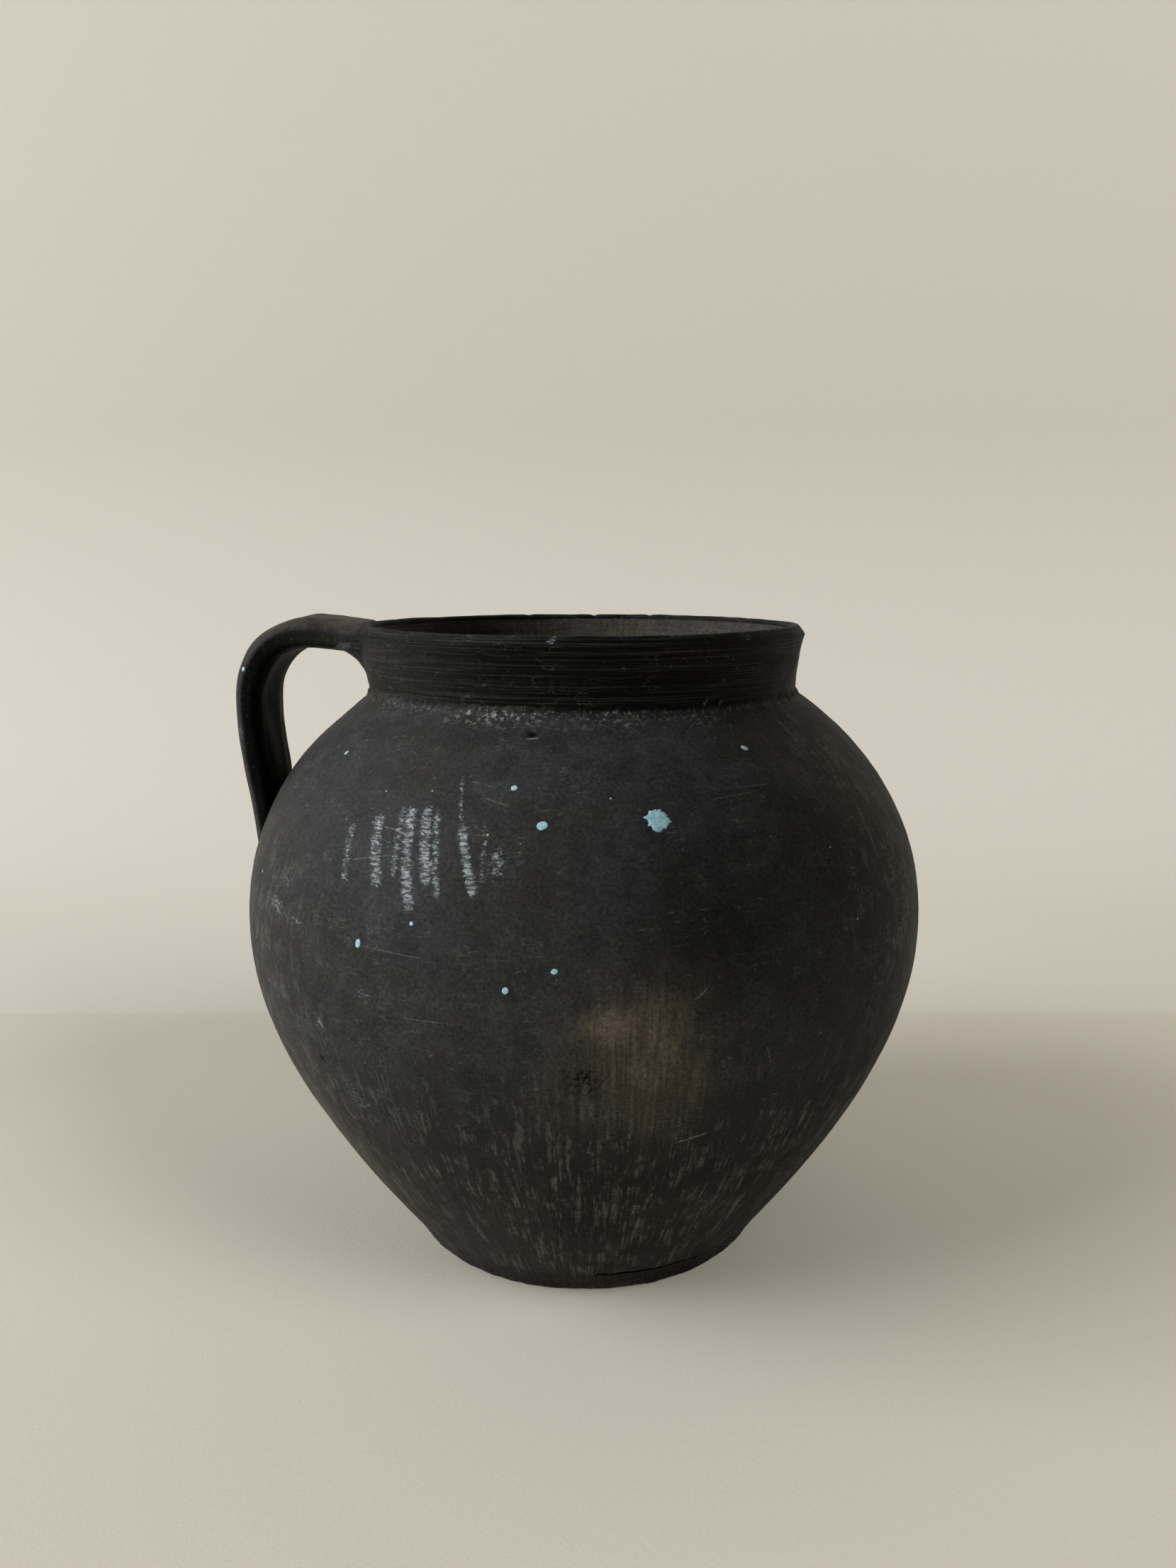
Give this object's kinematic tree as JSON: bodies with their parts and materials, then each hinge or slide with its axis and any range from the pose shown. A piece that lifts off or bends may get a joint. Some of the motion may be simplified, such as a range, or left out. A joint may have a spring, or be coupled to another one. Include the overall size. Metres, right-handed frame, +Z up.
{
  "type": "clay jar",
  "caption": "Round-bellied black clay jar with a short open neck, a bevelled lip and one strap handle from lip to shoulder.",
  "frame": {"origin": "centre of the foot's underside, on the surface that the jar stands on", "axes": "+Z up through the mouth, handle towards -X, front (the side with the paint drops) towards -Y"},
  "size_m": [0.2737, 0.272, 0.2531],
  "materials": {
    "black_clay": "unglazed reduction-fired earthenware, matte",
    "worn_clay": "the same earthenware, scraped and scuffed",
    "smoked_clay": "the same earthenware with a brown smoke bloom",
    "paint": "dried wall paint"
  },
  "bodies": {
    "root": {"base_slab": "black_clay", "foot_band": "black_clay", "base_seam_coil": "black_clay", "wall_course_1": "worn_clay", "wall_course_2": "worn_clay", "wall_course_3": "worn_clay", "wall_course_4": "black_clay", "wall_course_5": "black_clay", "wall_course_6": "black_clay", "neck_collar": "black_clay", "neck_bead": "black_clay", "lip_coil": "black_clay", "strap_handle": "smoked_clay", "strap_root_wad": "black_clay", "strap_landing_wad": "black_clay", "paint_drops": "paint"}
  },
  "joints": []
}
